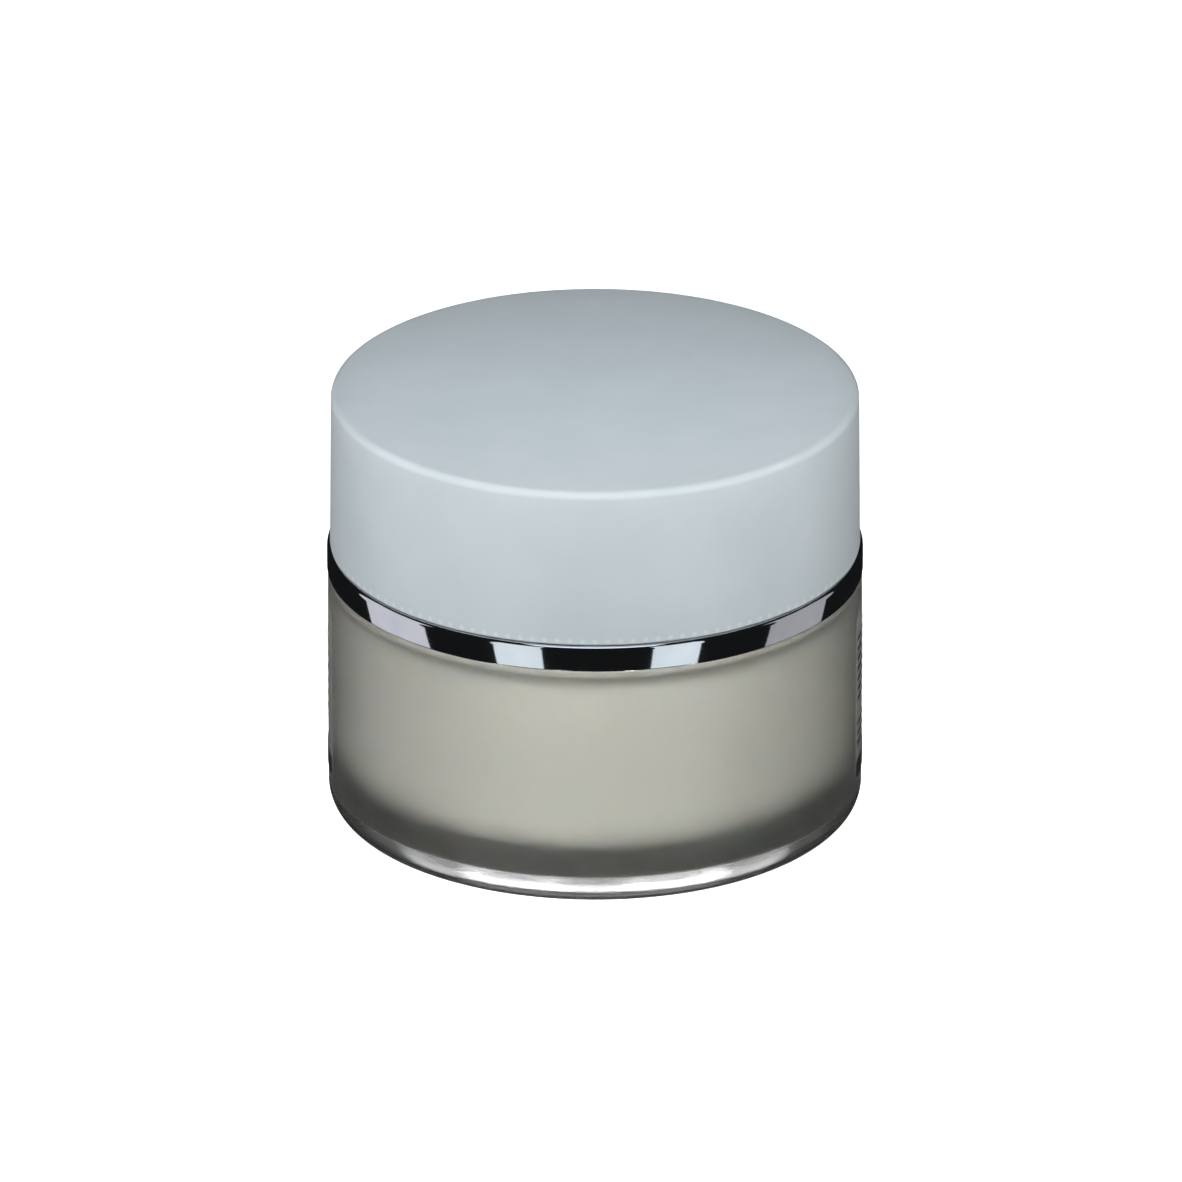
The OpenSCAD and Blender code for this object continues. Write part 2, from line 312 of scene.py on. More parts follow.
def etchedGlass():
    # soda-lime glass, acid-etched outside: a soft grey satin that blurs what is behind it.
    # The neck, the mouth, the cavity and the middle of the underside stay clear.
    # The heel is ground: greyer, and it sparkles.
    look = {"etched": 0.42, "drift": 0.03, "heel": 0.19, "clear": 0.06, "heelClear": 0.93,
            "heelColour": "#D6D8D4", "grain": 0.22, "heelGrain": 2, "bump": 0.35, "relief": 0.02,
            "etchedFromR": 26.6, "etchedFromZ": 90,  # above the whole jar, so its rim stays clear
            "heelFullZ": 3.6, "heelEndZ": 4.1}
    material, tree, surface, place, cloud = newMaterial("etchedGlass", {"IOR": 1.52},
                                                        6.0, "#F8FAF8", "#F3F6F4")
    etched, height = frostMask(tree, place, look["etchedFromR"], look["etchedFromZ"])
    satin = addNode(tree, "ShaderNodeMapRange", values={
        "To Min": look["etched"] - look["drift"], "To Max": look["etched"] + look["drift"]},
        links={"Value": cloud})
    belowWall = addNode(tree, "ShaderNodeMapRange", values={
        "From Min": look["heelFullZ"] * mm, "From Max": look["heelEndZ"] * mm, "To Min": 1, "To Max": 0},
        links={"Value": height})
    heel = addNode(tree, "ShaderNodeMath", {"operation": "MULTIPLY"}, links={
        0: belowWall.outputs["Result"], 1: etched})
    wall = addNode(tree, "ShaderNodeMix", {"data_type": "FLOAT"}, {"B": look["heel"]},
                   {"Factor": heel.outputs["Value"], "A": satin.outputs["Result"]})
    clear = addNode(tree, "ShaderNodeMapRange", values={"To Min": 1, "To Max": look["heelClear"]},
                    links={"Value": heel.outputs["Value"]})
    tree.links.new(clear.outputs["Result"], surface.inputs["Transmission Weight"])
    tintSurface(tree, surface, heel.outputs["Value"], look["heelColour"])
    rough = addNode(tree, "ShaderNodeMix", {"data_type": "FLOAT"}, {"A": look["clear"]},
                    {"Factor": etched, "B": wall.outputs["Result"]})
    tree.links.new(rough.outputs["Result"], surface.inputs["Roughness"])
    grain = addNode(tree, "ShaderNodeTexNoise", values={
        "Scale": perMetre(look["grain"]), "Detail": 3.0, "Roughness": 0.6}, links={"Vector": place})
    depth = addNode(tree, "ShaderNodeMath", {"operation": "MULTIPLY_ADD"}, {1: look["heelGrain"]},
                    {0: heel.outputs["Value"], 2: etched})
    texture = addNode(tree, "ShaderNodeMath", {"operation": "MULTIPLY"}, links={
        0: grain.outputs["Fac"], 1: depth.outputs["Value"]})
    raiseSurface(tree, surface, texture.outputs["Value"], look)
    return material


def frostedShell():
    # clear styrene plastic, moulded between a blasted cavity and a polished core: pale blue-grey,
    # translucent, satin outside and glossy inside
    look = {"satin": 0.39, "drift": 0.03, "polished": 0.08, "grain": 0.3, "bump": 0.3, "relief": 0.015,
            "satinFromR": 28.9, "satinFromZ": 50,
            "dots": 132, "dotZ": 33.04, "dotR": 0.42, "dotPitch": 1.44,  # as many dots as the ring has pips
            # the colour and strength of the painted highlight on each dot
            "paintedHighlightColour": "#EDF2F2", "paintedHighlightShare": 0.8}
    material, tree, surface, place, cloud = newMaterial("frostedShell", {
        "Transmission Weight": 0.42, "IOR": 1.49}, 9.0, "#D4DCDF", "#CED7DA")
    frosted, height = frostMask(tree, place, look["satinFromR"], look["satinFromZ"])
    satin = addNode(tree, "ShaderNodeMapRange", values={
        "To Min": look["satin"] - look["drift"], "To Max": look["satin"] + look["drift"]},
        links={"Value": cloud})
    rough = addNode(tree, "ShaderNodeMix", {"data_type": "FLOAT"}, {"A": look["polished"]},
                    {"Factor": frosted, "B": satin.outputs["Result"]})
    tree.links.new(rough.outputs["Result"], surface.inputs["Roughness"])
    # a paler dot is painted on the wall over each of the ring's pips, just above its foot: a painted
    # highlight where the pip shows through
    across = addNode(tree, "ShaderNodeSeparateXYZ", links={"Vector": place})
    around = addNode(tree, "ShaderNodeMath", {"operation": "ARCTAN2"}, links={
        0: across.outputs["Y"], 1: across.outputs["X"]})
    turned = addNode(tree, "ShaderNodeMath", {"operation": "MULTIPLY"}, {1: look["dots"] / (2 * math.pi)},
                     {0: around.outputs["Value"]})
    offDot = addNode(tree, "ShaderNodeMath", {"operation": "PINGPONG"}, {1: 0.5},
                     {0: turned.outputs["Value"]})
    sideways = addNode(tree, "ShaderNodeMath", {"operation": "MULTIPLY"}, {1: look["dotPitch"] * mm},
                       {0: offDot.outputs["Value"]})
    upwards = addNode(tree, "ShaderNodeMath", {"operation": "SUBTRACT"}, {1: look["dotZ"] * mm}, {0: height})
    reach = addNode(tree, "ShaderNodeCombineXYZ", links={
        "X": sideways.outputs["Value"], "Y": upwards.outputs["Value"]})
    away = addNode(tree, "ShaderNodeVectorMath", {"operation": "LENGTH"}, links={0: reach.outputs["Vector"]})
    paintedHighlight = addNode(tree, "ShaderNodeMapRange", values={
        "From Min": 0, "From Max": look["dotR"] * mm, "To Min": look["paintedHighlightShare"], "To Max": 0},
        links={"Value": away.outputs["Value"]})
    tintSurface(tree, surface, paintedHighlight.outputs["Result"], look["paintedHighlightColour"])
    grain = addNode(tree, "ShaderNodeTexNoise", values={
        "Scale": perMetre(look["grain"]), "Detail": 3.0, "Roughness": 0.6}, links={"Vector": place})
    raiseSurface(tree, surface, grain.outputs["Fac"], look)
    return material


def metallisedTrim():
    # ABS plated in a vacuum: a bright mirror with very fine turning lines round it
    look = {"lines": 0.25, "smoothest": 0.03, "roughest": 0.06, "bump": 0.06, "relief": 0.004}
    material, tree, surface, place, _ = newMaterial("metallisedTrim", {"Metallic": 1.0},
                                                    5.0, "#F2F4F7", "#E4E7EC")
    height = addNode(tree, "ShaderNodeSeparateXYZ", links={"Vector": place})
    lines = addNode(tree, "ShaderNodeTexNoise", {"noise_dimensions": "1D"},
                    {"Scale": perMetre(look["lines"])}, {"W": height.outputs["Z"]})
    roughenSurface(tree, surface, lines.outputs["Fac"], look)
    return material


def whippedCream():
    # an oil-in-water emulsion: warm white, soft and a little wet
    look = {"grain": 0.5, "smoothest": 0.32, "roughest": 0.5, "bump": 0.3, "relief": 0.03}
    material, tree, surface, place, _ = newMaterial("whippedCream", {
        "Subsurface Weight": 0.6, "Subsurface Radius": (0.0024, 0.0019, 0.0014), "Subsurface Scale": 1.0,
        "IOR": 1.4, "Coat Weight": 0.15, "Coat Roughness": 0.25}, 7.0, "#F4F0E6", "#EFEADF")
    grain = addNode(tree, "ShaderNodeTexNoise", values={
        "Scale": perMetre(look["grain"]), "Detail": 4.0, "Roughness": 0.6}, links={"Vector": place})
    roughenSurface(tree, surface, grain.outputs["Fac"], look)
    return material


def mouldedPolypropylene(name, light, dark, rough, sparkSize):
    # natural polypropylene, injection moulded against a spark-eroded tool: waxy white with a fine even grain
    drift = 0.06
    look = {"smoothest": rough - drift, "roughest": rough + drift, "bump": 0.35, "relief": 0.02}
    material, tree, surface, place, _ = newMaterial(name, {
        "Subsurface Weight": 0.25, "Subsurface Radius": (0.0012, 0.0012, 0.001), "Subsurface Scale": 1.0,
        "IOR": 1.49}, 8.0, light, dark)
    spark = addNode(tree, "ShaderNodeTexNoise", values={
        "Scale": perMetre(sparkSize), "Detail": 3.0, "Roughness": 0.6}, links={"Vector": place})
    roughenSurface(tree, surface, spark.outputs["Fac"], look)
    return material


def foamSheet():
    # cross-linked polyethylene foam: matt white, with closed cells that show as fine pits
    look = {"cells": 0.35, "smoothest": 0.75, "roughest": 0.9, "bump": 0.6, "relief": 0.06}
    material, tree, surface, place, _ = newMaterial("foamSheet", {"Sheen Weight": 0.2, "IOR": 1.45},
                                                    5.0, "#F3F2EE", "#E9E8E3")
    cells = addNode(tree, "ShaderNodeTexVoronoi", values={"Scale": perMetre(look["cells"])},
                    links={"Vector": place})
    roughenSurface(tree, surface, cells.outputs["Distance"], look)
    return material


def clearFilm():
    # biaxially oriented polypropylene film: clear and glossy, with a faint ripple from the glue
    look = {"ripple": 2.4, "smoothest": 0.12, "roughest": 0.2, "bump": 0.15, "relief": 0.01}
    material, tree, surface, place, _ = newMaterial("clearFilm", {"IOR": 1.49, "Alpha": 0.16},
                                                    2.4, "#B9BBB7", "#AEB0AC")
    ripple = addNode(tree, "ShaderNodeTexNoise", values={"Scale": perMetre(look["ripple"])},
                     links={"Vector": place})
    roughenSurface(tree, surface, ripple.outputs["Fac"], look)
    return material


def printedInk():
    # screen ink: a near-black, slightly raised satin layer
    look = {"fleck": 0.3, "smoothest": 0.35, "roughest": 0.5, "bump": 0.2, "relief": 0.005}
    material, tree, surface, place, _ = newMaterial("printedInk", {"IOR": 1.5}, 1.2, "#1B1C1C", "#262827")
    fleck = addNode(tree, "ShaderNodeTexNoise", values={
        "Scale": perMetre(look["fleck"]), "Detail": 3.0, "Roughness": 0.6}, links={"Vector": place})
    roughenSurface(tree, surface, fleck.outputs["Fac"], look)
    return material


glassLook = etchedGlass()
shellLook = frostedShell()
trimLook = metallisedTrim()
creamLook = whippedCream()
discLook = mouldedPolypropylene("mouldedDisc", "#F1F1ED", "#EAEAE6", 0.38, 0.35)
capLook = mouldedPolypropylene("mouldedCap", "#E9ECEC", "#E2E6E6", 0.45, 0.4)
foamLook = foamSheet()
filmLook = clearFilm()
inkLook = printedInk()
repeatRound = repeatRoundTree()
printRows = printRowsTree()
print("materials and node trees ready")


jarHigh = boxMm("glass_jar")[1]
creamLow, creamHigh = boxMm("cream")
jar = {
    "r": jarHigh.x, "rimZ": jarHigh.z, "shoulderZ": jarHigh.z - 11,
    "heelR": 3, "shoulderR": 0.7, "neckR": 25.3, "footR": 0.6, "rimR": 0.6, "mouthR": 22.5,
    "cavityR": 25.5, "cavityCorner": 5, "floorZ": creamLow.z - 0.02, "pushUp": 0.8, "pushUpR": 21,
    "standOff": 0.1,  # the knurl's height, which the bearing ring is raised by
}
jar["narrowFrom"] = jar["shoulderZ"] - 3.6
jar["narrowTo"] = jar["shoulderZ"] - 1.2
jarThread = {"z": jar["shoulderZ"] + 2.7, "lead": 6, "starts": 2, "from": 0, "sweep": 306,
             "ramp": 27, "root": 1.6, "crest": 0.7, "depth": 1.0}
threadStep = 0.15  # rings stand this close together where a thread runs


def cavityOutline(topZ, grow, fine=12):
    # the inner wall from the mouth down to the middle of the floor, grown outwards by a little
    wall = [(jar["mouthR"] + grow, topZ)]
    wall += [(jar["mouthR"] + grow + (jar["cavityR"] - jar["mouthR"]) * ease(i / fine),
              jar["narrowTo"] + (jar["narrowFrom"] - jar["narrowTo"]) * i / fine) for i in range(fine + 1)]
    corner = jar["cavityCorner"]
    wall += arc(jar["cavityR"] - corner, jar["floorZ"] + corner, corner + grow, 0, -90, 16)
    return wall + [(0, jar["floorZ"] - grow)]


def domeOutline(steps=12):
    half, rise = jar["pushUpR"], jar["pushUp"]
    r = (half * half + rise * rise) / (2 * rise)
    reach = math.asin(half / r)
    return [(r * math.sin(reach * i / steps), rise - r + r * math.cos(reach * i / steps) + jar["standOff"])
            for i in range(steps + 1)]


def buildGlassJar():
    neckLow = (jar["neckR"], jar["shoulderZ"] + jar["footR"])
    neckHigh = (jar["neckR"], jar["rimZ"] - jar["rimR"])
    standOff = jar["standOff"]
    outline = domeOutline()
    outline += arc(jar["r"] - jar["heelR"], jar["heelR"] + standOff, jar["heelR"], -90, 0, 20)
    outline += arc(jar["r"] - jar["shoulderR"], jar["shoulderZ"] - jar["shoulderR"], jar["shoulderR"],
                   0, 90, 10)
    outline += arc(jar["neckR"] + jar["footR"], neckLow[1], jar["footR"], 270, 180, 8)
    outline += stretch(neckLow, neckHigh, threadStep)
    outline += arc(jar["neckR"] - jar["rimR"], neckHigh[1], jar["rimR"], 0, 90, 8)
    outline += arc(jar["mouthR"] + jar["rimR"], neckHigh[1], jar["rimR"], 90, 180, 8)
    # the cavity's wall starts a little under the rounding of the rim
    outline += cavityOutline(neckHigh[1] - 0.5, 0)

    def thread(r, z, angle):
        onNeck = abs(r - jar["neckR"]) < 0.01 and neckLow[1] < z < neckHigh[1]
        return (r + threadHeight(jarThread, z, angle), z) if onNeck else (r, z)

    glass = lathe("jar_glass", outline, 216, push=thread)
    finishPiece(glass, glassLook, "jar", "frosted_glass", "glass_jar")


def buildKnurl():
    # fine bars round the bearing ring, which keep the hot glass off the conveyor
    knurl = {"count": 150, "r": 24.3, "length": 4.4, "width": 0.55, "height": 0.3}
    bm = bmesh.new()
    bmesh.ops.create_uvsphere(bm, u_segments=8, v_segments=6, radius=0.5 * mm)
    bmesh.ops.scale(bm, vec=(knurl["length"], knurl["width"], knurl["height"]), verts=bm.verts)
    piece = newPiece("jar_knurl", bm)
    bakeGeometry(piece, repeatRound, {"Count": knurl["count"], "Radius": knurl["r"] * mm,
                                      "Height": knurl["height"] / 2 * mm, "Material": glassLook})
    finishPiece(piece, glassLook, "jar", "frosted_glass")


def buildCream():
    # the cream wets the glass, so its side reaches a hair into the wall; its top holds the nozzle's swirl
    swirl = {"pitch": 7.5, "depth": 1.1, "still": 2.2, "eyeR": 1.6, "step": 0.45,
             "wobble": 0.25, "wobblesPerMm": 0.16, "reach": 0.04}
    topZ = creamHigh.z
    wallR = jar["mouthR"] + swirl["reach"]
    outline = [(0, topZ)] + stretch((0, topZ), (wallR, topZ), swirl["step"])
    outline += cavityOutline(topZ, swirl["reach"])

    def stir(r, z, angle):
        if z < topZ - 0.01 or r > wallR - 0.1:
            return r, z
        lap = angle + 2 * math.pi * r / swirl["pitch"]
        edge = ease((wallR - r) / swirl["still"]) * ease(r / swirl["eyeR"])
        spot = Vector((r * math.cos(angle), r * math.sin(angle), 3.0))
        soft = noise.noise(spot * swirl["wobblesPerMm"])
        return r, z - edge * (swirl["depth"] * (0.5 + 0.5 * math.cos(lap)) + swirl["wobble"] * (soft + 0.5))

    cream = lathe("jar_cream", outline, 192, push=stir, sharpDeg=60)
    finishPiece(cream, creamLook, "jar", "cream", "cream")


buildGlassJar()
buildKnurl()
buildCream()
print("glass jar, knurl and cream made")


labelLow, labelHigh = boxMm("back_label")
label = {
    "r": jar["r"] + 0.02, "thick": 0.06, "lowZ": labelLow.z, "highZ": labelHigh.z, "corner": 1.2,
    "fromDeg": -13, "arcDeg": 204, "ink": 0.012,
    "bandLow": 0.12, "bandHigh": 2.4,  # the dark band's edges, above the film's lower edge
    "bandCorner": 0.8, "bandInsetDeg": 0.4,
}
label["inkR"] = label["r"] + label["thick"] + 0.002


def bentSheet(name, r, thick, lowZ, highZ, fromDeg, arcDeg, corner):
    # a film or a printed band that follows the glass, with round corners
    cornerSteps, middleStep, rows = 6, 0.8, 4
    span = math.radians(arcDeg) * r
    steps = [corner * (1 - math.cos(math.radians(90 * i / cornerSteps))) for i in range(cornerSteps)]
    middle = max(2, round((span - 2 * corner) / middleStep))
    steps += [corner + (span - 2 * corner) * i / middle for i in range(middle + 1)]
    steps += [span - s for s in reversed(steps[:cornerSteps])]
    bm = bmesh.new()
    grid = []
    for s in steps:
        fromEnd = min(s, span - s)
        cut = corner - math.sqrt(max(0, corner ** 2 - (corner - fromEnd) ** 2)) if fromEnd < corner else 0
        angle = math.radians(fromDeg) + s / r
        column = []
        for depth in (0, thick):
            for i in range(rows + 1):
                z = lowZ + cut + (highZ - lowZ - 2 * cut) * i / rows
                point = Vector(((r + depth) * math.cos(angle), (r + depth) * math.sin(angle), z))
                column.append(bm.verts.new(point * mm))
        grid.append(column)
    n = rows + 1
    around = list(range(n)) + list(range(2 * n - 1, n - 1, -1))
    for first, second in zip(grid, grid[1:]):
        for a, b in zip(around, around[1:] + around[:1]):
            bm.faces.new((first[a], first[b], second[b], second[a]))
    for column in (grid[0], grid[-1]):
        for i in range(rows):
            bm.faces.new((column[i], column[i + 1], column[n + i + 1], column[n + i]))
    return newPiece(name, bm, 30)


def buildLabel():
    film = bentSheet("label_film", label["r"], label["thick"], label["lowZ"], label["highZ"],
                     label["fromDeg"], label["arcDeg"], label["corner"])
    finishPiece(film, filmLook, "jar", "label_film", "back_label")
    band = bentSheet("label_band", label["inkR"], label["ink"],
                     label["lowZ"] + label["bandLow"], label["lowZ"] + label["bandHigh"],
                     label["fromDeg"] + label["bandInsetDeg"], label["arcDeg"] - 2 * label["bandInsetDeg"],
                     label["bandCorner"])
    finishPiece(band, inkLook, "jar", "label_film")


def buildPrint():
    # blocks of plain bars stand in for the small print; they hold no lettering
    blocks = {
        "label_print_1": {"fromDeg": -11.5, "rows": 7, "columns": 4, "lowZ": 15.0, "step": 1.25, "seed": 3},
        "label_print_2": {"fromDeg": -11.5, "rows": 3, "columns": 4, "lowZ": 9.5, "step": 1.25, "seed": 4},
        "label_print_3": {"fromDeg": 62, "rows": 5, "columns": 4, "lowZ": 13.0, "step": 1.9, "seed": 8},
        "label_print_4": {"fromDeg": 136, "rows": 7, "columns": 3, "lowZ": 11.0, "step": 1.6, "seed": 5},
    }
    bar = {"height": 0.45, "longest": 7.7, "shortest": 5.4, "columnStep": 9.2}
    for name, block in blocks.items():
        bm = bmesh.new()
        bmesh.ops.create_grid(bm, x_segments=5, y_segments=1, size=0.5)
        bmesh.ops.rotate(bm, verts=bm.verts, matrix=Matrix.Rotation(math.pi / 2, 3, "X"))
        solid = bmesh.ops.extrude_face_region(bm, geom=bm.faces[:])
        lifted = [v for v in solid["geom"] if isinstance(v, bmesh.types.BMVert)]
        bmesh.ops.translate(bm, verts=lifted, vec=(0, label["ink"] * mm, 0))
        bmesh.ops.translate(bm, verts=bm.verts, vec=(0.5, 0, 0.5))
        piece = newPiece(name, bm, 30)
        bakeGeometry(piece, printRows, {
            "Rows": block["rows"], "Columns": block["columns"], "Row Step": block["step"] * mm,
            "Column Step": bar["columnStep"] * mm, "Bar Height": bar["height"] * mm,
            "Longest": bar["longest"] * mm, "Shortest": bar["shortest"] * mm,
            "Radius": label["inkR"] * mm, "Start Angle": math.radians(block["fromDeg"]),
            "Low Edge": block["lowZ"] * mm, "Seed": block["seed"], "Material": inkLook})
        finishPiece(piece, inkLook, "jar", "label_film")


buildLabel()
buildPrint()
print("label made")


discLow, discHigh = boxMm("sealing_disc")
tabLow, tabHigh = boxMm("pull_tab")
disc = {
    "flangeR": discHigh.x, "flangeZ": jar["rimZ"] + 0.03, "topZ": discHigh.z, "plugR": jar["mouthR"] - 0.15,
    "floorZ": discLow.z, "wall": 0.9, "thick": 0.9, "edge": 0.2, "innerCorner": 0.4,
    "ribs": (19.2, 16.6), "ribFoot": 0.45, "ribTop": 0.2, "ribH": 0.18,
    "gateR": 1.0, "gateSlope": 0.3, "gateDepth": 0.2,
    "rootDepth": 1.4, "rootEdge": 0.25, "rootSink": 0.1,
}
tab = {
    "lowZ": tabLow.z, "thick": 0.9, "width": 2 * tabHigh.x, "length": tabHigh.y - tabLow.y,
    "hingeY": tabHigh.y, "edge": 0.25, "tipSteps": 28, "rootGap": 0.5,
    "bars": 3, "barsFrom": 2, "barStep": 2.0, "barWidth": 0.8, "barHeight": 0.25, "barSink": 0.12,
}


def buildSealingDisc():
    edge, floorTop = disc["edge"], disc["floorZ"] + disc["thick"]
    inner = disc["plugR"] - disc["wall"]
    outline = [(0, disc["floorZ"])]
    outline += arc(disc["plugR"] - edge, disc["floorZ"] + edge, edge, -90, 0, 5)
    outline += arc(disc["plugR"] + edge, disc["flangeZ"] - edge, edge, 180, 90, 4)
    outline += arc(disc["flangeR"] - edge, disc["flangeZ"] + edge, edge, -90, 0, 5)
    outline += arc(disc["flangeR"] - edge, disc["topZ"] - edge, edge, 0, 90, 5)
    outline += arc(inner + edge, disc["topZ"] - edge, edge, 90, 180, 5)
    corner = disc["innerCorner"]
    outline += arc(inner - corner, floorTop + corner, corner, 0, -90, 5)
    # two raised rings stiffen the floor, clear of the tab's root
    for ringR in disc["ribs"]:
        outline += [(ringR + disc["ribFoot"], floorTop), (ringR + disc["ribTop"], floorTop + disc["ribH"]),
                    (ringR - disc["ribTop"], floorTop + disc["ribH"]), (ringR - disc["ribFoot"], floorTop)]
    # the moulding's gate leaves a small dimple in the middle
    outline += [(disc["gateR"] + disc["gateSlope"], floorTop), (disc["gateR"], floorTop - disc["gateDepth"]),
                (0, floorTop - disc["gateDepth"])]
    body = lathe("sealing_disc_body", outline, 160)
    finishPiece(body, discLook, "disc", "disc_plastic", "sealing_disc")

    rootY = tab["hingeY"] + tab["rootGap"]
    block = roundedBlock("sealing_disc_root", -tab["width"] / 2, tab["width"] / 2,
                         rootY, rootY + disc["rootDepth"],
                         floorTop - disc["rootSink"], tab["lowZ"] + tab["thick"], disc["rootEdge"])
    finishPiece(block, discLook, "disc", "disc_plastic")


def roundedBlock(name, x0, x1, y0, y1, z0, z1, edge):
    bm = bmesh.new()
    bmesh.ops.create_cube(bm, size=1)
    bmesh.ops.scale(bm, vec=((x1 - x0) * mm, (y1 - y0) * mm, (z1 - z0) * mm), verts=bm.verts)
    bmesh.ops.translate(bm, verts=bm.verts, vec=Vector((x0 + x1, y0 + y1, z0 + z1)) * mm / 2)
    bmesh.ops.bevel(bm, geom=bm.edges[:], offset=edge * mm, segments=3, profile=0.5, affect="EDGES")
    return newPiece(name, bm, 40)


def buildPullTab():
    # a round-ended tongue with soft edges and three raised bars for the thumb
    half, steps = tab["width"] / 2, tab["tipSteps"]
    tipY = tab["hingeY"] - tab["length"] + half
    edgeLine = [(half, tab["hingeY"])]
    edgeLine += [(half * math.cos(a), tipY - half * math.sin(a))
                 for a in (math.pi * i / steps for i in range(steps + 1))]
    edgeLine += [(-half, tab["hingeY"])]
    bm = bmesh.new()
    face = bm.faces.new([bm.verts.new(Vector((x, y, tab["lowZ"])) * mm) for x, y in edgeLine])
    raised = bmesh.ops.extrude_face_region(bm, geom=[face])
    bmesh.ops.translate(bm, verts=[v for v in raised["geom"] if isinstance(v, bmesh.types.BMVert)],
                        vec=(0, 0, tab["thick"] * mm))
    bmesh.ops.recalc_face_normals(bm, faces=bm.faces)
    sharp = [e for e in bm.edges if e.is_manifold and e.calc_face_angle(0) > math.radians(60)]
    bmesh.ops.bevel(bm, geom=sharp, offset=tab["edge"] * mm, segments=4, profile=0.5, affect="EDGES")
    tongue = newPiece("pull_tab_tongue", bm, 40)
    finishPiece(tongue, discLook, "tab", "disc_plastic", "pull_tab")
    for i in range(tab["bars"]):
        y = tab["hingeY"] - tab["length"] + tab["barsFrom"] + i * tab["barStep"]
        top = tab["lowZ"] + tab["thick"]
        bar = roundedBlock(f"pull_tab_bar_{i + 1}", -half / 2, half / 2, y, y + tab["barWidth"],
                           top - tab["barSink"], top + tab["barHeight"], tab["barSink"])
        finishPiece(bar, discLook, "tab", "disc_plastic")


def buildTabHinge():
    # the living hinge, which bends on the real disc: here a thin straight web between the disc's root and the
    # tab
    web = {"halfWidth": 6.5, "thick": 0.28, "steps": 12,
           "from": tab["hingeY"] - 0.25, "to": tab["hingeY"] + 0.75}
    middle = tab["lowZ"] + tab["thick"] / 2
    corners = [(-1, -1), (1, -1), (1, 1), (-1, 1)]
    bm = bmesh.new()
    rows = []
    for i in range(web["steps"] + 1):
        y = web["from"] + (web["to"] - web["from"]) * i / web["steps"]
        rows.append([bm.verts.new(Vector((sx * web["halfWidth"], y, middle + sz * web["thick"] / 2)) * mm)
                     for sx, sz in corners])
    for first, second in zip(rows, rows[1:]):
        for a in range(4):
            bm.faces.new((first[a], first[(a + 1) % 4], second[(a + 1) % 4], second[a]))
    bm.faces.new(rows[0])
    bm.faces.new(rows[-1])
    piece = newPiece("tab_hinge_web", bm, 40)
    piece.data.materials.append(discLook)
    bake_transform(piece)


buildSealingDisc()
buildPullTab()
buildTabHinge()
print("sealing disc and pull tab made")


ringLow, ringHigh = boxMm("trim_ring")
shellLow, shellHigh = boxMm("outer_cap")
capLow, capHigh = boxMm("inner_cap")
linerLow, linerHigh = boxMm("cap_liner")
trim = {"r": ringHigh.x, "lowZ": ringLow.z, "topZ": shellLow.z - 0.05, "edge": 0.2, "topEdge": 0.55,
        "sleeveR": 28.45, "boreR": 27.95, "sleeveTop": ringHigh.z, "seatZ": capLow.z + 1.05,
        "footBoreR": 28.95}
shell = {"r": shellHigh.x, "wall": 1.5, "top": 1.8, "edge": 0.9, "innerEdge": 0.9, "footEdge": 0.2,
         "draft": 0.15, "lowZ": shellLow.z, "topZ": shellHigh.z}
cap = {"boreR": 26.7, "r": 27.9, "footR": capHigh.x, "footH": 1, "roof": 1.2, "edge": 0.2,
       "bead": 0.5, "beadHalf": 0.4, "beadDrop": 0.45, "threadSpan": 7.6,
       "bossR": 4.0, "bossSlope": 0.2, "bossH": 0.25, "gateR": 0.7, "gateSlope": 0.2, "gateH": 0.6,
       "lowZ": capLow.z, "topZ": capHigh.z}
capThread = {"z": jar["shoulderZ"] + 1.7, "lead": 6, "starts": 2, "from": 30, "sweep": 270,
             "ramp": 27, "root": 1.4, "crest": 0.6, "depth": 0.9}


def buildTrimRing():
    outline = [(trim["footBoreR"], trim["lowZ"])]
    outline += arc(trim["r"] - trim["edge"], trim["lowZ"] + trim["edge"], trim["edge"], -90, 0, 6)
    outline += arc(trim["r"] - trim["topEdge"], trim["topZ"] - trim["topEdge"], trim["topEdge"], 0, 90, 12)
    outline += [(trim["sleeveR"], trim["topZ"]), (trim["sleeveR"], trim["sleeveTop"]),
                (trim["boreR"], trim["sleeveTop"]), (trim["boreR"], trim["seatZ"]),
                (trim["footBoreR"], trim["seatZ"])]
    ring = lathe("trim_ring_band", outline, 216, closed=True, sharpDeg=30)
    finishPiece(ring, trimLook, "lid", "trim_metal", "trim_ring")


def buildPips():
    # small round pips of bare plastic on the sleeve, which grip the shell
    pips = {"count": 132, "depth": 0.58, "width": 0.75, "height": 0.6, "sink": 0.05}
    bm = bmesh.new()
    bmesh.ops.create_uvsphere(bm, u_segments=10, v_segments=8, radius=0.5 * mm)
    bmesh.ops.scale(bm, vec=(pips["depth"], pips["width"], pips["height"]), verts=bm.verts)
    piece = newPiece("trim_ring_pips", bm)
    bakeGeometry(piece, repeatRound, {
        "Count": pips["count"], "Radius": trim["sleeveR"] * mm,
        "Height": (trim["topZ"] + pips["height"] / 2 - pips["sink"]) * mm, "Material": capLook})
    finishPiece(piece, capLook, "lid", "trim_metal")


def buildOuterShell():
    topR, roofZ = shell["r"] - shell["draft"], shell["topZ"] - shell["top"]
    boreR, inner = shell["r"] - shell["wall"], shell["innerEdge"]
    outline = [(boreR, shell["lowZ"])]
    outline += arc(shell["r"] - shell["footEdge"], shell["lowZ"] + shell["footEdge"], shell["footEdge"],
                   -90, 0, 5)
    outline += arc(topR - shell["edge"], shell["topZ"] - shell["edge"], shell["edge"], 0, 90, 12)
    outline += [(0, shell["topZ"]), (0, roofZ)]
    outline += arc(boreR - shell["draft"] - inner, roofZ - inner, inner, 90, 0, 8)
    piece = lathe("outer_cap_shell", outline, 216, closed=True, sharpDeg=30)
    finishPiece(piece, shellLook, "lid", "frosted_shell", "outer_cap")


